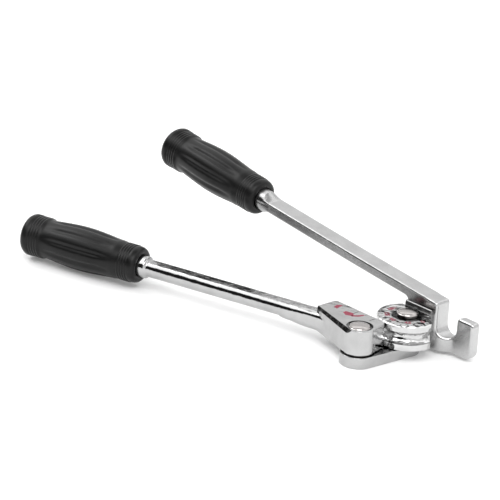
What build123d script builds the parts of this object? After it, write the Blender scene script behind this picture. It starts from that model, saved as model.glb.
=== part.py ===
"""Lever tube bender for 10 mm (3/8 in) tube: forging, wheel, link, lever and grips.

Millimetres, +Z up.  The wheel's pivot axis is x = y = 0 and the underside of the link
plate is z = 0.  The form handle runs along -X with its hook at +X, and the lever lies
on the -Y side, engaged with the wheel at the 90 degree mark.
"""

import os
from math import cos
from math import radians
from math import sin

from build123d import *

# ------------------------------------------------------------------ driving dimensions
TUBE_D = 10.0            # tube this tool bends
BEND_R = 24.0            # centre-line bend radius
TUBE_Z = 20.2            # height of the tube centre-line
GROOVE_CLEAR = 0.05      # radial clearance of the grooves on the tube

HEAD_BOTTOM = 9.9        # underside of the wheel and of the lever head
HEAD_TOP = 30.5          # top faces of the wheel and of the lever head

PIVOT_2 = (-6.0, -46.0)  # lever pivot in plan; the wheel pivot is at (0, 0)
PIN_R = 6.0
RUNNING_CLEAR = 0.05     # radial clearance between pins and bushes
BUSH_R = 7.5             # outside radius of both bushes
RIVET_HEAD_R = 8.5
RIVET_RIM = 2.6          # straight height of the rivet heads
RIVET_DOME = 1.7         # dome height above the rim
PEEN_R = 7.4             # flared foot of each pin, set in the link's countersink
PEEN_H = 1.6

LINK_T = 9.2
LINK_R1 = 11.3           # end radius at the wheel pivot
LINK_R2 = 13.9           # end radius at the lever pivot
WASHER_T = 0.6
WASHER_R = 8.8

WHEEL_R = BEND_R         # the flanges reach the tube's centre-line radius
SEAT_Y = 14.4            # flat of the wheel against the handle's seat
CUT_A = (24.6, 1.6)      # chord that clears the tube's tail, front end
CUT_B = (9.0, 15.6)      # and back end

BAR_FRONT_Y = 15.2
BAR_BACK_Y = 31.4
BAR_T = 8.2              # depth of the flat bar
BAR_MID_Y = (BAR_FRONT_Y + BAR_BACK_Y) / 2
BAR_W = BAR_BACK_Y - BAR_FRONT_Y
BAR_RISE = radians(6.86)  # the bar climbs away from the head
BAR_START = (-22.0, 41.0)  # x and z of a point on the climbing bar's axis
KNEE_X = -110.0          # the bar is straight from here on and bows slightly before
HEAD_RISE = radians(6.0)  # climb of the bar over the wheel
BAR_END_X = -175.5       # the flat bar swells into the round boss at the grip
BOSS_X = -184.0
EDGE_R = 1.7             # rounding of the bar's long edges
HOOK_EDGE_R = 2.4        # rounding of the hook's edges
END_X = 15.5             # end face over the hook
END_TOP = 41.8           # height of the bar's top at the end face
BLOCK_LEFT_X = -15.0     # block under the bar that carries the wheel
BLOCK_FILLET = 5.0       # between the block and the underside of the bar
SEAT_LEFT_X = -16.5
SEAT_RIGHT_X = 11.0      # the raised seat stops short of the end face
SEAT_TOP = 34.4
BLOCK_BOTTOM = 10.1

HOOK_WALL_X = 30.4       # inner face of the lug
HOOK_END_X = 48.0
HOOK_TOP = 33.0
HOOK_BOTTOM = 2.0
HOOK_BACK_Y = 31.4
LUG_FRONT_Y = 22.6
HOOK_LEFT_X = 3.0
LUG_LEFT_X = 30.5        # the lug's front face starts here

SCREW_X = (-11.5, 6.6)   # screws that hold the wheel to the handle
SCREW_R = 3.0
SCREW_HEAD_R = 5.0
SCREW_HEAD_H = 5.5
SCREW_TIP_Y = 9.4
DOWEL_AT = ((-5.5, 13.6), (2.0, 27.2))  # x, z of the locating dowels
DOWEL_R = 2.0

ROD_R = 7.15             # lever rod and both tangs
ROD_Z = 19.25
ROD_FLAT = 5.75          # height of the rod's flat above its axis
ROD_FROM = (-63.4, -43.0)
ROD_YAW = radians(15.4)
ROD_LENGTH = 155.5       # from ROD_FROM to the grip's mouth
RUNOUT_AT = 10.5         # the rod's flat starts to run out this far before the mouth
RUNOUT_R = 5.0

BOSS_R = 9.0             # round end of each handle, filling the grip's mouth
BOSS_RISE = 8.5          # the boss starts to rise from the rod this far before the mouth
BOSS_FULL = 5.0          # and is full from here on
BOSS_IN_GRIP = 4.0

WALL_START = (-52.7, -45.3)  # left end of the lever head's near wall
WALL_YAW = radians(-16.1)
LEAN_DEPTH = 2.4         # the wall leans in from this far below the top, at its left end
LEAN_RATE = 0.47         # inward per millimetre of height
LEAN_DROP = radians(1.5)  # the leaning strip widens towards the pivot

COUNTERBORE_R = 10.4     # round the lever pivot's head
COUNTERBORE_H = 2.8

NECK_FROM = 34.0         # the neck leaves the rod this far out along it
NECK_FLARE = 38.0        # and has its full depth after this length
NECK_STATIONS = (34, 24, 14, 6, 0, -5, -9, -13, -17, -21.5)
BLEND_FROM = -5.0        # its near side starts curving into the head's wall here
BLEND_RATE = 0.018       # and ends tangent to that wall

GRIP_L = 111.0
TANG_IN_GRIP = 86.0
FORM_GRIP_X = -190.5     # mouth of the form handle's grip

DIAL_STEP = 15           # degrees between the dial's graduations
TICK_W = 0.75
MARK_DEPTH = 0.3         # depth of the engraved marks


# ------------------------------------------------------------------------ small helpers
def cylinder(x, y, z0, z1, radius):
    """Upright cylinder between two heights."""
    return Pos(x, y, z0) * extrude(Circle(radius), z1 - z0)


def slab(face, z0, z1):
    """A plan outline pulled up from z0 to z1."""
    return Pos(0, 0, z0) * extrude(face, z1 - z0)


def hull_of(circles):
    """Plan outline: the convex hull of circles given as (x, y, radius)."""
    edges = []
    for x, y, radius in circles:
        edges += (Pos(x, y) * Circle(radius)).edges()
    return make_face(make_hull(edges))


def turned(points):
    """Solid of revolution about Z from (radius, height) points."""
    outline = Polyline(*[(r, 0, h) for r, h in points], close=True)
    return revolve(make_face(outline), Axis.Z)


def along_y(x, z, y0, y1, radius):
    """Cylinder lying along Y between y0 and y1."""
    plane = Plane(origin=(x, y0, z), x_dir=(1, 0, 0), z_dir=(0, 1, 0))
    return extrude(plane * Circle(radius), y1 - y0)


def edges_at(shape, height, tolerance=0.01):
    """Edges that lie flat at one height."""
    found = []
    for edge in shape.edges():
        box = edge.bounding_box()
        if abs(box.min.Z - height) < tolerance and abs(box.max.Z - height) < tolerance:
            found.append(edge)
    return found


# ------------------------------------------------------------------- pivots and the link
def pivot_pin(at, under_head):
    """Rivet with a domed head; its foot is peened into the link plate."""
    rim = under_head + RIVET_RIM
    points = [
        (0, 0),
        (PEEN_R, 0),
        (PIN_R, PEEN_H),
        (PIN_R, under_head),
        (RIVET_HEAD_R - 0.4, under_head),
        (RIVET_HEAD_R, under_head + 0.4),
        (RIVET_HEAD_R, rim - 0.5),
    ]
    for step in range(7):
        angle = radians(90 * step / 6)
        points.append(((RIVET_HEAD_R - 0.5) * cos(angle) + 0.0001, rim + RIVET_DOME * sin(angle)))
    points[-1] = (0, rim + RIVET_DOME)
    return Pos(at[0], at[1], 0) * turned(points)


def bush(at, z0, z1):
    """Plain bronze bush, pressed into the part that turns on the pin."""
    return cylinder(*at, z0, z1, BUSH_R) - cylinder(*at, z0, z1, PIN_R + RUNNING_CLEAR)


def link_plate():
    """Flat link under the head that holds the two pivots apart."""
    plan = hull_of([(0, 0, LINK_R1), (*PIVOT_2, LINK_R2)])
    plate = slab(plan, 0, LINK_T)
    plate = fillet(edges_at(plate, 0), 0.8)
    plate = fillet(edges_at(plate, LINK_T), 0.5)
    seat = turned([(0, 0), (PEEN_R, 0), (PIN_R, PEEN_H), (PIN_R, LINK_T), (0, LINK_T)])
    for x, y in ((0, 0), PIVOT_2):
        plate -= Pos(x, y, 0) * seat
    return plate


def thrust_washers():
    """One washer on each pin between the link and the heads above it."""
    rings = []
    for x, y in ((0, 0), PIVOT_2):
        ring = cylinder(x, y, LINK_T, LINK_T + WASHER_T, WASHER_R)
        rings.append(ring - cylinder(x, y, LINK_T, LINK_T + WASHER_T, PIN_R + 0.1))
    return rings


# --------------------------------------------------------------------------- the wheel
def dial_marks():
    """Graduations on the wheel's top face: long every 45 degrees, short between."""
    marks = []
    for degree in range(0, 181, DIAL_STEP):
        length = 3.4 if degree % 45 == 0 else 2.0
        tick = Box(length, TICK_W, MARK_DEPTH)
        radius = WHEEL_R - 1.4 - length / 2
        place = Rot(0, 0, -degree) * Pos(radius, 0, HEAD_TOP - MARK_DEPTH / 2)
        marks.append(place * tick)
    return marks


def forming_wheel():
    """Grooved wheel the tube is drawn round, flat at the back and cut at the hook."""
    disc = cylinder(0, 0, HEAD_BOTTOM, HEAD_TOP, WHEEL_R)
    disc = chamfer(edges_at(disc, HEAD_TOP), 0.8)
    disc = chamfer(edges_at(disc, HEAD_BOTTOM), 0.6)
    groove = Pos(0, 0, TUBE_Z) * Torus(BEND_R, TUBE_D / 2 + GROOVE_CLEAR)
    wheel = disc - groove
    wheel -= Pos(0, SEAT_Y + 20, TUBE_Z) * Box(80, 40, 40)
    chord = Polyline(CUT_A, CUT_B, (CUT_B[0] + 20, 40), (60, 40), (60, CUT_A[1]), close=True)
    wheel -= slab(make_face(chord), HEAD_BOTTOM - 1, HEAD_TOP + 1)
    rim = wheel.edges().filter_by(Axis.X).group_by(Axis.Z)[-1].sort_by(Axis.Y)[-1]
    wheel = chamfer(rim, 0.6)
    wheel -= cylinder(0, 0, HEAD_BOTTOM, HEAD_TOP, BUSH_R)
    for x in SCREW_X:
        wheel -= along_y(x, TUBE_Z, SCREW_TIP_Y, SEAT_Y, SCREW_R)
    for x, z in DOWEL_AT:
        wheel -= along_y(x, z, SCREW_TIP_Y, SEAT_Y, DOWEL_R)
    for mark in dial_marks():
        wheel -= mark
    return wheel


def wheel_screws():
    """Socket-head screws driven from behind the handle into the wheel."""
    screws = []
    head_y = BAR_BACK_Y - 0.4 - SCREW_HEAD_H
    for x in SCREW_X:
        screw = along_y(x, TUBE_Z, SCREW_TIP_Y, head_y, SCREW_R)
        screw += along_y(x, TUBE_Z, head_y, head_y + SCREW_HEAD_H, SCREW_HEAD_R)
        plane = Plane(
            origin=(x, head_y + 2.5, TUBE_Z), x_dir=(1, 0, 0), z_dir=(0, 1, 0)
        )
        screw -= extrude(plane * RegularPolygon(2.9, 6), SCREW_HEAD_H)
        screws.append(screw)
    return screws


def wheel_dowels():
    """Dowels that carry the bending load between wheel and handle."""
    return [along_y(x, z, SCREW_TIP_Y, SEAT_Y + 9, DOWEL_R) for x, z in DOWEL_AT]


# -------------------------------------------------------------------- the form handle
def bar_axis(x):
    """Height of the form handle's axis at x."""
    return BAR_START[1] + (BAR_START[0] - x) * sin(BAR_RISE) / cos(BAR_RISE)


def bar_plane(x):
    """Plane square to the climbing bar, facing down the handle."""
    return Plane(
        origin=(x, BAR_MID_Y, bar_axis(x)),
        x_dir=(0, -1, 0),
        z_dir=(-cos(BAR_RISE), 0, sin(BAR_RISE)),
    )


def bar_edge(x, side):
    """Point of the climbing bar's profile square to its axis at x; side is 1 or -1."""
    return (
        x + side * BAR_T / 2 * sin(BAR_RISE),
        bar_axis(x) + side * BAR_T / 2 * cos(BAR_RISE),
    )


def front_plane(y):
    """Plane facing -Y whose local axes are X and Z."""
    return Plane(origin=(0, y, 0), x_dir=(1, 0, 0), z_dir=(0, -1, 0))


def head_top(x):
    """Height of the bar's top over the wheel and the hook."""
    return END_TOP + (END_X - x) * sin(HEAD_RISE) / cos(HEAD_RISE)


def flat_bar():
    """Flat bar with the wheel's block under its end; it bows slightly into the climb."""
    low = (-cos(HEAD_RISE), sin(HEAD_RISE))
    steep = (-cos(BAR_RISE), sin(BAR_RISE))
    top_end = (HOOK_LEFT_X, head_top(HOOK_LEFT_X))
    under = (HOOK_LEFT_X, head_top(HOOK_LEFT_X) - BAR_T / cos(HEAD_RISE))
    outline = [
        Line(bar_edge(BAR_END_X, 1), bar_edge(KNEE_X, 1)),
        Spline(top_end, bar_edge(KNEE_X, 1), tangents=[low, steep]),
        Line(top_end, under),
        Spline(under, bar_edge(KNEE_X, -1), tangents=[low, steep]),
        Line(bar_edge(KNEE_X, -1), bar_edge(BAR_END_X, -1)),
        Line(bar_edge(BAR_END_X, -1), bar_edge(BAR_END_X, 1)),
    ]
    block = Polyline(
        (HOOK_LEFT_X, BLOCK_BOTTOM),
        (HOOK_LEFT_X, head_top(HOOK_LEFT_X) - BAR_T / 2),
        (BLOCK_LEFT_X, head_top(BLOCK_LEFT_X) - BAR_T / 2),
        (BLOCK_LEFT_X, BLOCK_BOTTOM),
        close=True,
    )
    profile = make_face(outline) + make_face(block)
    corner = (BLOCK_LEFT_X, head_top(BLOCK_LEFT_X) - BAR_T, 0)
    profile = fillet(profile.vertices().sort_by_distance(corner)[0], BLOCK_FILLET)
    bar = extrude(front_plane(BAR_FRONT_Y) * profile, -BAR_W)
    long_edges = []
    for edge in bar.edges():
        if edge.length > 2 * BAR_W and edge.center().X < HOOK_LEFT_X - 1:
            long_edges.append(edge)
    return fillet(long_edges, EDGE_R)


def hook_plan():
    """Plan of the hook: it sweeps from the wheel's flat out to the lug."""
    start = (END_X - 3.5, BAR_FRONT_Y)
    end = (LUG_LEFT_X, LUG_FRONT_Y)
    sweep = Spline(start, (20.0, 17.0), (24.6, 20.2), end, tangents=[(1, 0.05), (1, 0)])
    rest = Polyline(
        end,
        (HOOK_END_X, LUG_FRONT_Y),
        (HOOK_END_X, HOOK_BACK_Y),
        (HOOK_LEFT_X, HOOK_BACK_Y),
        (HOOK_LEFT_X, BAR_FRONT_Y),
        start,
    )
    return make_face([sweep, *rest.edges()])


def hook_profile():
    """Front outline of the end face, the round-bottomed slot and the lug."""
    slot_r = (HOOK_WALL_X - END_X) / 2
    slot_x = (HOOK_WALL_X + END_X) / 2
    slot_z = TUBE_Z - TUBE_D / 2 - 0.2 + slot_r
    corners = (
        (HOOK_WALL_X, HOOK_TOP, 3.2),
        (HOOK_END_X, HOOK_TOP, 3.4),
        (HOOK_END_X, HOOK_BOTTOM, 8.0),
        (END_X, END_TOP, 3.2),
    )
    body = Polyline(
        (HOOK_LEFT_X, HOOK_BOTTOM),
        (HOOK_END_X, HOOK_BOTTOM),
        (HOOK_END_X, HOOK_TOP),
        (HOOK_WALL_X, HOOK_TOP),
        (HOOK_WALL_X, slot_z),
        (END_X, slot_z),
        (END_X, END_TOP),
        (HOOK_LEFT_X, head_top(HOOK_LEFT_X)),
        close=True,
    )
    face = make_face(body) - Pos(slot_x, slot_z) * Circle(slot_r)
    for x, z, radius in corners:
        face = fillet(face.vertices().sort_by_distance((x, z, 0))[0], radius)
    return face


def hook():
    """End of the forging: end face, slot floor and lug, which hold the tube's tail."""
    column = slab(hook_plan(), HOOK_BOTTOM - 1, head_top(HOOK_LEFT_X) + 1)
    front = extrude(front_plane(BAR_FRONT_Y - 1) * hook_profile(), -BAR_W - 2)
    shape = column & front
    rounded = []
    for edge in shape.edges():
        box = edge.bounding_box()
        inside = box.min.X > HOOK_LEFT_X + 0.1 or box.max.X > END_X - 1
        across = box.size.Y > BAR_W / 3 and box.size.X < 0.1 and box.size.Z < 0.1
        upright = box.size.X < 0.1 and box.size.Y < 0.1
        seam = upright and min(abs(box.min.X - x) for x in (END_X - 3.5, LUG_LEFT_X)) < 0.1
        if inside and not across and not seam:
            rounded.append(edge)
    return fillet(rounded, HOOK_EDGE_R)


def form_handle():
    """Forged handle: climbing bar, wheel block, end face, hook, boss and round tang."""
    section = RectangleRounded(BAR_W, BAR_T, EDGE_R)
    round_end = bar_plane(BOSS_X) * Circle(BOSS_R)
    taper = loft([bar_plane(BAR_END_X) * section, round_end])
    boss = extrude(round_end, (BOSS_X - FORM_GRIP_X) / cos(BAR_RISE) + BOSS_IN_GRIP)
    tang = extrude(bar_plane(FORM_GRIP_X) * Circle(ROD_R), TANG_IN_GRIP)
    handle = flat_bar() + taper + boss + tang + hook()
    seat_w = SEAT_RIGHT_X - SEAT_LEFT_X
    seat_h = SEAT_TOP - BLOCK_BOTTOM
    seat = Box(seat_w, 4.0, seat_h)
    seat = fillet(seat.edges().filter_by(Axis.X).group_by(Axis.Z)[-1].sort_by(Axis.Y)[0], 0.7)
    handle += Pos(SEAT_LEFT_X + seat_w / 2, SEAT_Y + 2.0, BLOCK_BOTTOM + seat_h / 2) * seat
    head_y = BAR_BACK_Y - 0.4 - SCREW_HEAD_H
    for x in SCREW_X:
        handle -= along_y(x, TUBE_Z, 10, head_y, SCREW_R)
        handle -= along_y(x, TUBE_Z, head_y, BAR_BACK_Y + 1, SCREW_HEAD_R)
    for x, z in DOWEL_AT:
        handle -= along_y(x, z, 10, SEAT_Y + 9, DOWEL_R)
    return handle


# ------------------------------------------------------------------------- the lever
def rod_point(distance):
    """Point on the lever rod's axis, measured from ROD_FROM towards the grip."""
    return (
        ROD_FROM[0] - distance * cos(ROD_YAW),
        ROD_FROM[1] - distance * sin(ROD_YAW),
        ROD_Z,
    )


def rod_plane(distance):
    """Plane square to the rod, facing the grip, with its x axis level."""
    return Plane(
        origin=rod_point(distance),
        x_dir=(sin(ROD_YAW), -cos(ROD_YAW), 0),
        z_dir=(-cos(ROD_YAW), -sin(ROD_YAW), 0),
    )


def engraved(points):
    """Shallow filled engraving in the lever head's top, from its plan outline."""
    return slab(make_face(Polyline(*points, close=True)), HEAD_TOP - MARK_DEPTH, HEAD_TOP)


def index_marks():
    """Red marks on the lever head: a wedge and a bent pointer."""
    wedge = ((-43.8, -36.0), (-41.9, -36.0), (-42.1, -28.2), (-42.9, -28.2))
    pointer = (
        (-29.2, -38.6),
        (-28.4, -40.0),
        (-22.4, -36.8),
        (-18.8, -28.9),
        (-20.1, -28.3),
        (-23.5, -35.6),
    )
    return [engraved(wedge), engraved(pointer)]


def index_lines():
    """Black lines on the lever head that are read against the dial."""
    lines = []
    for x, y0, y1 in ((-26.4, -33.6, -27.6), (-9.0, -32.6, -27.0)):
        lines.append(engraved([(x - 0.4, y0), (x + 0.4, y0), (x + 0.4, y1), (x - 0.4, y1)]))
    return lines


def neck_section(distance):
    """Section of the neck: it deepens towards the head and curves into the near wall."""
    share = min(1.0, (NECK_FROM - distance) / NECK_FLARE)
    ease = share * share * (3 - 2 * share)
    near = 6.9 + 0.5 * ease + BLEND_RATE * max(0.0, BLEND_FROM - distance) ** 2
    far = 6.9 + 0.6 * ease
    top = 5.6 + 0.5 * ease
    bottom = 6.9 + 2.4 * ease
    section = RectangleRounded(near + far, top + bottom, 6.2 - 1.6 * ease)
    return rod_plane(distance) * (Pos((near - far) / 2, (top - bottom) / 2) * section)


def wall_lean():
    """Wedge that leans the top of the head's near wall inwards."""
    plane = Plane(
        origin=(*WALL_START, HEAD_TOP),
        x_dir=(sin(WALL_YAW), -cos(WALL_YAW), 0),
        z_dir=(
            cos(WALL_YAW) * cos(LEAN_DROP),
            sin(WALL_YAW) * cos(LEAN_DROP),
            -sin(LEAN_DROP),
        ),
    )
    above = 4.0
    section = Polyline(
        (0, LEAN_DEPTH),
        (-LEAN_RATE * (LEAN_DEPTH + above), -above),
        (10, -above),
        (10, LEAN_DEPTH),
        close=True,
    )
    return extrude(plane * make_face(section), 80, both=True)


def rod_boss():
    """Round end of the rod, which fills the mouth of the grip."""
    rise = Spline((ROD_R, -BOSS_RISE), (BOSS_R, -BOSS_FULL), tangents=[(0, 1), (0, 1)])
    rest = Polyline(
        (BOSS_R, -BOSS_FULL),
        (BOSS_R, BOSS_IN_GRIP),
        (0, BOSS_IN_GRIP),
        (0, -BOSS_RISE),
        (ROD_R, -BOSS_RISE),
    )
    outline = make_face([rise, *rest.edges()])
    return rod_plane(ROD_LENGTH).location * revolve(Plane.XZ * outline, Axis.Z)


def rod_flat():
    """Cutter for the flat on top of the rod, with its curved run-out."""
    start = rod_plane(-14)
    section = start * (Pos(0, ROD_FLAT + RUNOUT_R) * Rectangle(30, 2 * RUNOUT_R))
    runout = Pos(0, ROD_FLAT + RUNOUT_R) * Rot(0, 90, 0) * Cylinder(RUNOUT_R, 30)
    return extrude(section, 14 + ROD_LENGTH - RUNOUT_AT) + (
        rod_plane(ROD_LENGTH - RUNOUT_AT).location * runout
    )


def lever_handle():
    """Forged lever: head with the tube shoe, neck, flat-topped rod and round tang."""
    face_y = -BEND_R - 0.4
    plan = hull_of(
        [
            (*PIVOT_2, 12.3),
            (-49.4, face_y - 4.4, 4.4),
            (-52.2, -43.6, 1.8),
            (-2.6, face_y - 4.5, 4.5),
        ]
    )
    head = slab(plan, HEAD_BOTTOM, HEAD_TOP)
    head = fillet(edges_at(head, HEAD_TOP), 0.6)
    head = fillet(edges_at(head, HEAD_BOTTOM), 1.2) - wall_lean()
    shoe = Plane(origin=(-70, -BEND_R, TUBE_Z), x_dir=(0, 1, 0), z_dir=(1, 0, 0))
    rod = extrude(rod_plane(-14) * Circle(ROD_R), 14 + ROD_LENGTH)
    rod = rod + rod_boss() - rod_flat()
    tang = extrude(rod_plane(ROD_LENGTH) * Circle(ROD_R), TANG_IN_GRIP)
    neck = loft([neck_section(distance) for distance in NECK_STATIONS])
    lever = head + rod + tang + neck
    lever -= extrude(shoe * Circle(TUBE_D / 2 + GROOVE_CLEAR), 90)
    lever -= cylinder(*PIVOT_2, HEAD_BOTTOM - 1, HEAD_TOP + 1, BUSH_R)
    lever -= cylinder(*PIVOT_2, HEAD_TOP - COUNTERBORE_H, HEAD_TOP + 1, COUNTERBORE_R)
    for mark in index_marks() + index_lines():
        lever -= mark
    return lever


# --------------------------------------------------------------------------- the grips
def grip_outline():
    """Half outline of a grip as (radius, distance from the outer end) points."""
    points = [(0, 0), (9.5, 0.2), (13.6, 1.2), (16.2, 3.0), (17.3, 5.2), (17.3, 6.6)]
    for ring in range(4):
        start = 7.4 + 2.4 * ring
        points += [(16.6, start), (17.1, start + 0.8), (17.1, start + 1.6)]
    points += [(16.2, 17.4), (15.9, 20.5), (16.3, 26.0), (17.2, 35.0), (18.0, 46.0)]
    points += [(18.1, 56.0), (17.7, 68.0), (16.9, 79.0), (16.0, 87.0), (15.8, 89.0)]
    for ring in range(4):
        start = 89.8 + 2.4 * ring
        points += [(15.0, start), (15.5, start + 0.8), (15.5, start + 1.6)]
    points += [(14.8, 99.8), (15.1, 101.0), (15.1, 106.4), (14.1, 109.2), (12.0, 111.0)]
    return points


def grip(plane):
    """Moulded grip with its mouth on the plane, reaching out along its normal."""
    points = [(r, GRIP_L - d) for r, d in grip_outline()]
    points += [(BOSS_R, 0), (BOSS_R, BOSS_IN_GRIP), (ROD_R, BOSS_IN_GRIP)]
    points += [(ROD_R, TANG_IN_GRIP), (0, TANG_IN_GRIP)]
    body = turned(points)
    return plane.location * body


def write(name, shapes):
    """Save one node; a list of solids becomes one compound."""
    shape = Compound(children=list(shapes)) if isinstance(shapes, list) else shapes
    export_step(shape, "parts/%s.step" % name)


def main():
    os.makedirs("parts", exist_ok=True)
    write("form_handle", form_handle())
    write("forming_wheel", forming_wheel())
    write("wheel_bush", bush((0, 0), HEAD_BOTTOM + 0.1, HEAD_TOP - 0.1))
    write("wheel_screws", wheel_screws())
    write("wheel_dowels", wheel_dowels())
    write("dial_ticks", dial_marks())
    write("form_grip", grip(bar_plane(FORM_GRIP_X)))
    write("link_plate", link_plate())
    write("thrust_washers", thrust_washers())
    write("wheel_pivot_pin", pivot_pin((0, 0), HEAD_TOP + 0.1))
    write("lever_pivot_pin", pivot_pin(PIVOT_2, HEAD_TOP - COUNTERBORE_H + 0.1))
    write("lever_handle", lever_handle())
    write("lever_bush", bush(PIVOT_2, HEAD_BOTTOM + 0.1, HEAD_TOP - COUNTERBORE_H - 0.1))
    write("index_marks", index_marks())
    write("index_lines", index_lines())
    write("lever_grip", grip(rod_plane(ROD_LENGTH)))


main()
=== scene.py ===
"""Looks of the lever tube bender: chrome plated forgings, moulded grips, dial and marks."""

import math

import bmesh
import bpy
from mathutils import Matrix, Vector


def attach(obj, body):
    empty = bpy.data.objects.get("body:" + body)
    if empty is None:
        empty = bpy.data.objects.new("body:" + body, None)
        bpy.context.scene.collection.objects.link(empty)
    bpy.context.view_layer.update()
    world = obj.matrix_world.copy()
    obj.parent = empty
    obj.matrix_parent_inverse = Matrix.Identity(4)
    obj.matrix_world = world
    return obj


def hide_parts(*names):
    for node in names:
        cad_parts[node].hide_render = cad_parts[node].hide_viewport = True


MM = 0.001

# ----------------------------------------------- where things are in the CAD model (mm)
HEAD_TOP = 30.5                # top faces of the wheel and of the lever head
BOSS_R = 9.0                   # round end of each handle, filling the grip's mouth
ROD_YAW = math.radians(15.4)   # the lever's rod, from ROD_FROM to its grip, in plan
ROD_FROM = (-63.4, -43.0, 19.25)
ROD_LENGTH = 155.5
BAR_RISE = math.radians(6.86)  # the form handle climbs away from the head
BAR_START = (-22.0, 41.0)      # x and z of a point on the climbing bar's axis
BAR_MID_Y = 23.3
FORM_GRIP_X = -190.5           # mouth of the form handle's grip

# -------------------------------------------------------------------------- grips (mm)
GRIP_L = 111.0
AROUND = 120                   # points round the grip
FLUTES = 10
FLUTE_DEPTH = 1.15
FLUTE_POWER = 3                # narrows the flutes
FLUTE_FADE = 5.0               # they run out over one part in this many of the barrel
BORE_R = BOSS_R + 0.1
# Pairs of (distance from the outer end, radius)
OUTER_END = (
    (0.0, 0.01), (0.2, 9.0), (0.85, 12.0), (1.55, 14.0),
    (2.8, 15.8), (4.1, 16.7), (5.4, 17.25), (9.2, 17.25),
)
MOUTH_END = (
    (104.0, 14.75), (104.6, 15.0), (106.2, 15.0), (107.6, 14.8), (109.2, 14.2),
    (110.3, 13.2), (110.9, 11.9), (110.9, 10.4), (110.6, 9.6), (110.0, BORE_R), (107.5, BORE_R),
)
# Moulded rings at each end: pairs of (distance from the ring's own start, radius)
RINGS = 4
OUTER_RING = ((0.0, 16.3), (0.5, 16.2), (0.9, 17.0), (1.9, 17.0))
OUTER_RING_AT = 9.8
OUTER_RING_PITCH = 2.5
MOUTH_RING = ((0.0, 14.7), (0.5, 14.6), (0.9, 15.45), (1.8, 15.45))
MOUTH_RING_AT = 94.6
MOUTH_RING_PITCH = 2.4
# Shoulders of the barrel: (distance from the outer end, radius, flute share)
OUTER_SHOULDER = [(20.2, 16.2, 0), (21.4, 15.95, 0.1)]
MOUTH_SHOULDER = [(91.5, 15.6, 0)]
# The swelling barrel
BARREL_AT = 22.6
BARREL_LENGTH = 66.4
BARREL_R = 15.85
BARREL_SWELL = 2.2
BARREL_STEPS = 40
SWELL_REACH = 1.02             # over 1, so that the swelling ends before the barrel does
SWELL_POWER = 1.2

# -------------------------------------------------------------------------- paint (mm)
PAINT_H = 0.03
DIGIT_H = 5.4
DIGIT_WEIGHT = 0.12            # how much the digits' strokes are thickened
DIGIT_LIFT = 0.02
DIAL_DIGITS = (                # words, degrees round the dial, distance from the pivot
    ("0", 0, 16.4),
    ("45", 45, 15.4),
    ("90", 93, 16.0),
    ("135", 133, 16.0),
    ("180", 180, 16.6),
)
HEAD_MARKS = {                 # corners in plan of the paint on the lever head
    "wedge_paint": (
        (-45.0, -35.5), (-46.0, -31.0), (-43.5, -28.0), (-42.5, -31.5), (-40.6, -36.4),
    ),
    "pointer_paint": (
        (-33.0, -37.5), (-33.0, -34.0), (-27.0, -32.5),
        (-24.5, -34.0), (-23.5, -36.5), (-28.0, -39.5),
    ),
    "pointer_tail": (
        (-25.0, -36.5), (-21.5, -32.0), (-20.0, -28.2),
        (-18.2, -28.6), (-19.5, -34.0), (-23.0, -38.2),
    ),
}

# --------------------------------------------------------------- surfaces (lengths in m)
SWELL_H = 0.0012               # waves in a forging under its plating
DENT_H = 0.0009
PIT_H = 0.00013
SMEARED = 0.86                 # smears darken the plating to this share
SMOOTHER, ROUGHER = 0.75, 1.35  # range of the roughness, as shares of a plating's own
PIVOT_REFLECTION_TONE = 0.05              # painted dark reflection of the rivet head round the wheel's pivot
PIVOT_REFLECTION_RAGGED = 0.006           # how far its edge wanders
PIVOT_REFLECTION_FADE = 0.003             # width over which it thins out

SHADED_BAR_SIDES = (0.17, 0.44)       # dark and light specks on the form handle's sides, darkened as painted shade,
LIT_HOOK_SIDES = (0.42, 0.58)      # on the hook's sides, lightened as painted light,
LIT_BAR_TOPS = (0.40, 0.56)        # and on all its upward faces, lightened as painted light
HOOK_FROM, HOOK_FULL = -0.002, 0.014  # x where the bar's sides turn into the hook's
TOP_FROM, TOP_FULL = 0.55, 0.95  # upward share of a normal that starts, and makes, a top lit by painted light
SMEAR_SHARE, GRAIN_SHARE = 0.4, 0.6

RUBBER_TONES = (0.003, 0.009)
PAINT_ROUGH = 0.55
WORN_PAINT = 0.6               # worn places are darkened to this share
WORN_METAL = 0.85

# ------------------------------------------------------------------------------- studio
# Pairs of (height, brightness), from the horizon, 0, to straight up, 1
WALL = ((0.0, 1.15), (0.2, 1.08), (0.4, 0.92), (0.48, 1.7), (0.64, 1.7), (0.72, 0.60))
DARK_END = ((0.0, 0.02), (0.39, 0.02), (0.44, 2.2), (0.65, 2.2), (0.72, 0.60), (1.0, 0.60))
DARK_SIDE = (-0.342, -0.940, 0.0)  # from the tool towards the dark end of the studio
DARK_FROM, DARK_FULL = 0.46, 0.64  # cosines of the angle away from that direction
LEVEL = (1.0, 1.0, 0.0)        # multiplied by this, a vector keeps only its plan

FLOOR_HALF = 6.0               # m
FLOOR_DROP = 0.02              # mm under the link plate
FLOOR_TONE = 0.9
FLOOR_ROUGH = 0.9
FLOOR_GLOW = 0.12

# ------------------------------------------------------------------------------- camera
CAMERA_TARGET = Vector((-0.0980, -0.0781, 0.0695))
CAMERA_TURN = math.radians(-44.47)  # direction from the target to the camera, in plan
CAMERA_HEIGHT = math.radians(21.35)
CAMERA_ROLL = math.radians(3.84)
CAMERA_DISTANCE = 2.4007
LENS_MM = 224.5
CLIP_END = 50.0

# ------------------------------------------------- sockets of a Mix node set to colours
COLOUR_A, COLOUR_B = 6, 7
COLOUR_RESULT = 2


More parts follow.
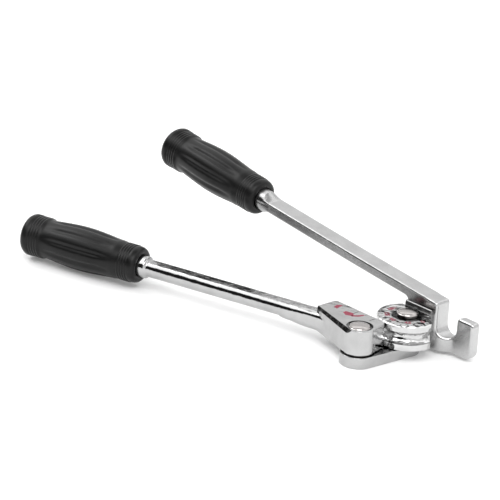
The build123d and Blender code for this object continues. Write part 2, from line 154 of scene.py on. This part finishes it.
# ------------------------------------------------------------------------ node plumbing
class Graph:
    """Short way of building one shader node tree."""

    def __init__(self, tree):
        self.tree = tree
        tree.nodes.clear()

    def add(self, kind, values=None, **props):
        node = self.tree.nodes.new(kind)
        for key, value in props.items():
            setattr(node, key, value)
        for key, value in (values or {}).items():
            self.feed(node, key, value)
        return node

    def feed(self, node, key, value):
        """Set an input socket, or link it when the value is another socket."""
        socket = node.inputs[key]
        if isinstance(value, bpy.types.NodeSocket):
            self.tree.links.new(value, socket)
        else:
            socket.default_value = value

    def place(self):
        """Position in the object's own coordinates."""
        return self.add("ShaderNodeTexCoord").outputs["Object"]

    def part_of(self, vector, axis):
        return self.add("ShaderNodeSeparateXYZ", {"Vector": vector}).outputs[axis]

    def math(self, operation, a, b=0.0, clamp=False):
        node = self.add("ShaderNodeMath", {0: a, 1: b}, operation=operation, use_clamp=clamp)
        return node.outputs[0]

    def vector(self, operation, a, b=(0.0, 0.0, 0.0), result="Vector"):
        node = self.add("ShaderNodeVectorMath", {0: a, 1: b}, operation=operation)
        return node.outputs[result]

    def remap(self, value, low=0.0, high=1.0, to_low=0.0, to_high=1.0):
        """Spread low..high over to_low..to_high, and hold the ends beyond them."""
        node = self.add(
            "ShaderNodeMapRange",
            {
                "Value": value,
                "From Min": low,
                "From Max": high,
                "To Min": to_low,
                "To Max": to_high,
            },
        )
        return node.outputs["Result"]

    def ramp(self, factor, stops):
        """Colour that runs through (position, colour) stops."""
        node = self.add("ShaderNodeValToRGB", {"Fac": factor})
        elements = node.color_ramp.elements
        while len(elements) < len(stops):
            elements.new(0.5)
        for element, (position, colour) in zip(elements, stops):
            element.position = position
            element.color = (*colour[:3], 1.0)
        return node.outputs["Color"]

    def two_tone(self, noise, low, high, span=(0.3, 0.7)):
        """Colour that turns from low into high over this span of a noise."""
        return self.ramp(noise, [(span[0], low), (span[1], high)])

    def blend(self, factor, first, second):
        """First colour where the factor is 0, second where it is 1."""
        node = self.add(
            "ShaderNodeMix",
            {"Factor": factor, COLOUR_A: first, COLOUR_B: second},
            data_type="RGBA",
        )
        return node.outputs[COLOUR_RESULT]

    def noise(self, vector, scale, detail=3.0, roughness=0.55):
        node = self.add(
            "ShaderNodeTexNoise",
            {"Vector": vector, "Scale": scale, "Detail": detail, "Roughness": roughness},
        )
        return node.outputs["Fac"]

    def bump(self, height, strength, distance, under=None):
        """Normal of a relief, on top of another relief where one is given."""
        node = self.add(
            "ShaderNodeBump", {"Height": height, "Strength": strength, "Distance": distance}
        )
        if under is not None:
            self.feed(node, "Normal", under)
        return node.outputs["Normal"]


def grey(value):
    return (value, value, value, 1.0)


def greys(*values):
    return [grey(value) for value in values]


def dimmed(colour, share):
    return tuple(c * share for c in colour)


def new_material(name):
    material = bpy.data.materials.new(name)
    material.use_nodes = True
    return material, Graph(material.node_tree)


def finish_material(graph, sockets):
    """End a material in one Principled shader with these sockets."""
    shader = graph.add("ShaderNodeBsdfPrincipled", sockets)
    graph.add("ShaderNodeOutputMaterial", {"Surface": shader.outputs["BSDF"]})


# ---------------------------------------------------------------------------- materials
def chrome(name, tone, rough, wave, dents, pits, tint=(1.0, 1.0, 1.0), pivot_reflection_r=0.0):
    """Plated forging: wavy under the plating, with smears and fine pits.

    The last argument is how far a painted dark reflection of the rivet head reaches round the
    pivot, in metres.
    """
    material, g = new_material(name)
    place = g.place()
    smear = g.noise(place, scale=60.0, detail=4.0)
    low = tuple(tone * SMEARED * c for c in tint)
    high = tuple(tone * c for c in tint)
    colour = g.two_tone(smear, low, high, span=(0.35, 0.65))
    # Painted dark reflection of the rivet head: the plating round the pivot is darkened to a
    # near-black tone.
    if pivot_reflection_r:
        reach = g.vector("LENGTH", g.vector("MULTIPLY", place, LEVEL), result="Value")
        ragged = g.math("MULTIPLY", g.noise(place, scale=260.0), PIVOT_REFLECTION_RAGGED)
        beyond_pivot_reflection = g.remap(g.math("ADD", reach, ragged), low=pivot_reflection_r, high=pivot_reflection_r + PIVOT_REFLECTION_FADE)
        colour = g.blend(beyond_pivot_reflection, grey(PIVOT_REFLECTION_TONE), colour)
    broad = g.noise(place, scale=45.0, detail=2.0)
    hammered = g.noise(place, scale=170.0, detail=1.0, roughness=0.4)
    fine = g.noise(place, scale=900.0, roughness=0.6)
    relief = g.bump(broad, wave, SWELL_H)
    relief = g.bump(hammered, dents, DENT_H, under=relief)
    relief = g.bump(fine, pits, PIT_H, under=relief)
    finish_material(
        g,
        {
            "Base Color": colour,
            "Metallic": 1.0,
            "Roughness": g.remap(smear, to_low=rough * SMOOTHER, to_high=rough * ROUGHER),
            "Normal": relief,
        },
    )
    return material


def forged_bar():
    """Satin plating on top of the handle, darker and speckled down its sides: painted light and
    shade over the forging's grain, with painted light on the hook's sides.
    """
    material, g = new_material("bar_plating")
    place = g.place()
    normal = g.add("ShaderNodeNewGeometry").outputs["Normal"]
    # Painted light and shade: upward faces take the lighter tones, the handle's sides the
    # darker ones.
    top = g.remap(g.part_of(normal, "Z"), low=TOP_FROM, high=TOP_FULL)
    hooked = g.remap(g.part_of(place, "X"), low=HOOK_FROM, high=HOOK_FULL)
    smear = g.noise(place, scale=70.0, detail=4.0)
    grain = g.noise(place, scale=1400.0, detail=4.0, roughness=0.7)
    smears = g.math("MULTIPLY", smear, SMEAR_SHARE)
    grains = g.math("MULTIPLY", grain, GRAIN_SHARE)
    mottle = g.math("ADD", smears, grains)
    # The hook's sides take lighter tones than the bar's sides: painted light.
    sides = g.blend(
        hooked, g.two_tone(grain, *greys(*SHADED_BAR_SIDES)), g.two_tone(grain, *greys(*LIT_HOOK_SIDES))
    )
    face = g.two_tone(mottle, *greys(*LIT_BAR_TOPS), span=(0.35, 0.65))
    waves = g.bump(g.noise(place, scale=50.0, detail=2.0), strength=0.25, distance=0.001)
    finish_material(
        g,
        {
            "Base Color": g.blend(top, sides, face),
            "Metallic": 1.0,
            "Roughness": g.remap(top, to_low=0.22, to_high=0.3),
            "Normal": g.bump(grain, strength=0.35, distance=0.0001, under=waves),
        },
    )
    return material


def rubber():
    """Black moulded grip with a soft sheen and a fine grain."""
    material, g = new_material("grip_rubber")
    place = g.place()
    grain = g.noise(place, scale=1600.0, roughness=0.6)
    dust = g.noise(place, scale=55.0, detail=4.0)
    finish_material(
        g,
        {
            "Base Color": g.two_tone(dust, *greys(*RUBBER_TONES), span=(0.35, 0.75)),
            "Roughness": g.remap(dust, to_low=0.30, to_high=0.42),
            "Specular IOR Level": 0.24,
            "Normal": g.bump(grain, strength=0.25, distance=0.00006),
        },
    )
    return material


def paint(name, colour):
    """Fill paint with an uneven, slightly worn surface."""
    material, g = new_material(name)
    wear = g.noise(g.place(), scale=700.0)
    finish_material(
        g,
        {
            "Base Color": g.two_tone(wear, dimmed(colour, WORN_PAINT), colour),
            "Roughness": PAINT_ROUGH,
            "Normal": g.bump(wear, strength=0.2, distance=0.00003),
        },
    )
    return material


def metal(name, colour, rough):
    """Plain turned metal with a fine machined grain."""
    material, g = new_material(name)
    grain = g.noise(g.place(), scale=800.0)
    finish_material(
        g,
        {
            "Base Color": g.two_tone(grain, dimmed(colour, WORN_METAL), colour),
            "Metallic": 1.0,
            "Roughness": rough,
            "Normal": g.bump(grain, strength=0.15, distance=0.00004),
        },
    )
    return material


# ------------------------------------------------------------------------------- pieces
def new_object(name, data):
    """An object in the scene's own collection."""
    made = bpy.data.objects.new(name, data)
    bpy.context.scene.collection.objects.link(made)
    return made


def mesh_piece(name, bm, look, body):
    """Turn a bmesh in metres into a shaded piece that rides on a body."""
    data = bpy.data.meshes.new(name)
    bmesh.ops.recalc_face_normals(bm, faces=bm.faces)
    bm.to_mesh(data)
    bm.free()
    piece = new_object(name, data)
    data.materials.append(looks[look])
    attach(piece, body)
    return piece


def rings(start, pitch, shape):
    """Moulded rings down the grip, all of one shape."""
    return [
        (start + pitch * ring + offset, radius, 0)
        for ring in range(RINGS)
        for offset, radius in shape
    ]


def grip_profile():
    """(distance from the outer end, radius, flute share) down the grip, in mm."""
    points = [(distance, radius, 0) for distance, radius in OUTER_END]
    points += rings(OUTER_RING_AT, OUTER_RING_PITCH, OUTER_RING)
    points += OUTER_SHOULDER
    for step in range(BARREL_STEPS + 1):
        share = step / BARREL_STEPS
        distance = BARREL_AT + BARREL_LENGTH * share
        swell = math.sin(math.pi * min(1.0, share * SWELL_REACH)) ** SWELL_POWER
        flute = min(1.0, share * FLUTE_FADE, (1.0 - share) * FLUTE_FADE)
        points.append((distance, BARREL_R + BARREL_SWELL * swell, flute))
    points += MOUTH_SHOULDER
    points += rings(MOUTH_RING_AT, MOUTH_RING_PITCH, MOUTH_RING)
    points += [(distance, radius, 0) for distance, radius in MOUTH_END]
    return points


def grip_piece(name, node, body, mouth, outward):
    """A grip with its rings, barrel and long shallow flutes, mouth at a point in metres."""
    side = outward.cross(Vector((0.0, 0.0, 1.0))).normalized()
    over = side.cross(outward).normalized()
    bm = bmesh.new()
    rows = []
    for distance, radius, flute in grip_profile():
        centre = mouth + outward * ((GRIP_L - distance) * MM)
        row = []
        for index in range(AROUND):
            angle = 2 * math.pi * index / AROUND
            scoop = (0.5 - 0.5 * math.cos(FLUTES * angle)) ** FLUTE_POWER
            r = (radius - FLUTE_DEPTH * flute * scoop) * MM
            across = side * (r * math.cos(angle))
            row.append(bm.verts.new(centre + across + over * (r * math.sin(angle))))
        rows.append(row)
    for near, far in zip(rows, rows[1:]):
        for index in range(AROUND):
            after = (index + 1) % AROUND
            bm.faces.new((near[index], near[after], far[after], far[index]))
    bm.faces.new(rows[0])
    for face in bm.faces:
        face.smooth = True
    piece = mesh_piece(name, bm, "rubber", body)
    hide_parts(node)


def dial_text(words, degree, radius):
    """Digits on the wheel's top face, their feet towards the rim."""
    curve = bpy.data.curves.new("dial_" + words, "FONT")
    curve.body = words
    curve.size = DIGIT_H * MM
    curve.align_x = "CENTER"
    curve.align_y = "CENTER"
    curve.extrude = PAINT_H * MM
    curve.offset = DIGIT_WEIGHT * MM
    piece = new_object("dial_" + words, curve)
    angle = math.radians(-degree)
    at = Vector((radius * math.cos(angle), radius * math.sin(angle), HEAD_TOP + DIGIT_LIFT))
    turn = Matrix.Rotation(angle + math.pi / 2, 4, "Z")
    piece.matrix_world = Matrix.Translation(at * MM) @ turn
    curve.materials.append(looks["red"])
    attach(piece, "form_handle")


def paint_patch(name, corners):
    """Red paint that has run out of a mark on the lever head."""
    bm = bmesh.new()
    rows = []
    for lift in (-PAINT_H, PAINT_H):
        rows.append([bm.verts.new(Vector((x, y, HEAD_TOP + lift)) * MM) for x, y in corners])
    bm.faces.new(rows[0])
    bm.faces.new(rows[1])
    for index, low in enumerate(rows[0]):
        after = (index + 1) % len(corners)
        bm.faces.new((low, rows[0][after], rows[1][after], rows[1][index]))
    mesh_piece(name, bm, "red", "lever")


# ------------------------------------------------------------------------------- studio
def studio_world():
    """Pale walls with a broad soft light above them, and a black wall at one side."""
    world = bpy.data.worlds.new("studio")
    bpy.context.scene.world = world
    world.use_nodes = True
    g = Graph(world.node_tree)
    where = g.add("ShaderNodeTexCoord").outputs["Generated"]
    heading = g.vector("NORMALIZE", g.vector("MULTIPLY", where, LEVEL))
    toward = g.vector("DOT_PRODUCT", heading, DARK_SIDE, result="Value")
    elevation = g.math("ARCSINE", g.part_of(where, "Z"))
    height = g.math("MULTIPLY", elevation, 2 / math.pi, clamp=True)
    wall, dark_end = (
        g.ramp(height, [(position, grey(level)) for position, level in levels])
        for levels in (WALL, DARK_END)
    )
    light = g.blend(g.remap(toward, low=DARK_FROM, high=DARK_FULL), wall, dark_end)
    back = g.add("ShaderNodeBackground", {"Color": light, "Strength": 1.0})
    g.add("ShaderNodeOutputWorld", {"Surface": back.outputs[0]})


def floor():
    """Plain pale floor under the link plate."""
    bm = bmesh.new()
    bmesh.ops.create_grid(bm, x_segments=1, y_segments=1, size=FLOOR_HALF)
    data = bpy.data.meshes.new("floor")
    bm.to_mesh(data)
    bm.free()
    piece = new_object("floor", data)
    piece.location.z = -FLOOR_DROP * MM
    material, g = new_material("floor_white")
    finish_material(
        g,
        {
            "Base Color": grey(FLOOR_TONE),
            "Roughness": FLOOR_ROUGH,
            "Emission Color": grey(1.0),
            "Emission Strength": FLOOR_GLOW,
        },
    )
    data.materials.append(material)


def area_light(name, at, size, watts):
    """Soft rectangular lamp aimed at the foot of the wheel's pivot."""
    lamp = bpy.data.lights.new(name, "AREA")
    lamp.shape = "RECTANGLE"
    lamp.size, lamp.size_y = size
    lamp.energy = watts
    holder = new_object(name, lamp)
    holder.location = at
    holder.rotation_euler = (-Vector(at)).to_track_quat("-Z", "Y").to_euler()


def camera():
    """Long lens looking down on the tool from beyond its hook, rolled a little."""
    data = bpy.data.cameras.new("camera")
    data.lens = LENS_MM
    data.clip_end = CLIP_END
    holder = new_object("camera", data)
    level = math.cos(CAMERA_HEIGHT)
    back = Vector(
        (level * math.cos(CAMERA_TURN), level * math.sin(CAMERA_TURN), math.sin(CAMERA_HEIGHT))
    )
    turn = back.to_track_quat("Z", "Y").to_matrix().to_4x4()
    roll = Matrix.Rotation(CAMERA_ROLL, 4, "Z")
    place = Matrix.Translation(CAMERA_TARGET + back * CAMERA_DISTANCE)
    holder.matrix_world = place @ turn @ roll
    bpy.context.scene.camera = holder


# --------------------------------------------------------------------------------- main
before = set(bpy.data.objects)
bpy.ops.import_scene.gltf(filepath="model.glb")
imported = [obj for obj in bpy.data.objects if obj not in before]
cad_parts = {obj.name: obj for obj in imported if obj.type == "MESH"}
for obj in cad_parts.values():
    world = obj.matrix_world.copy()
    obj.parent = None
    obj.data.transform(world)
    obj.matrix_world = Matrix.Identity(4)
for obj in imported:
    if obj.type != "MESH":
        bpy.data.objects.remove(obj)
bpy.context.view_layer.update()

looks = {
    "bar": forged_bar(),
    "polished": chrome(
        "polished_plating", tone=0.48, rough=0.09, wave=0.4, dents=0.22, pits=0.4
    ),
    # The wheel's plating carries a painted dark reflection of the rivet head round its pivot.
    "wheel": chrome(
        "wheel_plating", tone=0.62, rough=0.07, wave=0.6, dents=1.4, pits=0.3, pivot_reflection_r=0.0145
    ),
    "link": chrome("link_plating", tone=0.46, rough=0.14, wave=0.35, dents=0.25, pits=0.35),
    "rivet": chrome(
        "rivet_steel",
        tone=0.46,
        rough=0.18,
        wave=0.15,
        dents=0.1,
        pits=0.2,
        tint=(1.0, 0.95, 0.93),
    ),
    "rubber": rubber(),
    "black": paint("black_fill", (0.02, 0.02, 0.02)),
    "red": paint("red_fill", (0.30, 0.03, 0.065)),
    "bronze": metal("bearing_bronze", (0.66, 0.47, 0.25), rough=0.35),
    "oiled": metal("oiled_bronze", (0.09, 0.07, 0.05), rough=0.4),
    "screw": metal("screw_steel", (0.30, 0.30, 0.31), rough=0.35),
}
node_looks = {
    "form_handle": "bar",
    "forming_wheel": "wheel",
    "lever_handle": "polished",
    "link_plate": "link",
    "wheel_pivot_pin": "rivet",
    "lever_pivot_pin": "rivet",
    "wheel_bush": "bronze",
    "lever_bush": "bronze",
    "thrust_washers": "oiled",
    "wheel_screws": "screw",
    "wheel_dowels": "screw",
    "dial_ticks": "black",
    "index_marks": "red",
    "index_lines": "black",
}
for node, look in node_looks.items():
    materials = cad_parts[node].data.materials
    materials.clear()
    materials.append(looks[look])

bar_z = BAR_START[1] + (BAR_START[0] - FORM_GRIP_X) * math.tan(BAR_RISE)
grip_piece(
    "form_grip_moulding",
    "form_grip",
    "form_handle",
    Vector((FORM_GRIP_X, BAR_MID_Y, bar_z)) * MM,
    Vector((-math.cos(BAR_RISE), 0.0, math.sin(BAR_RISE))),
)
rod_out = Vector((-math.cos(ROD_YAW), -math.sin(ROD_YAW), 0.0))
grip_piece(
    "lever_grip_moulding",
    "lever_grip",
    "lever",
    (Vector(ROD_FROM) + rod_out * ROD_LENGTH) * MM,
    rod_out,
)
for words, degree, radius in DIAL_DIGITS:
    dial_text(words, degree, radius)
for name, corners in HEAD_MARKS.items():
    paint_patch(name, corners)

studio_world()
floor()
area_light("key", at=(0.7, -0.8, 1.5), size=(1.2, 1.2), watts=12)
area_light("fill", at=(-1.3, -0.5, 1.3), size=(1.0, 0.7), watts=6)
camera()
# Plain display colours, so that the pale floor reads as white
bpy.context.scene.view_settings.view_transform = "Standard"
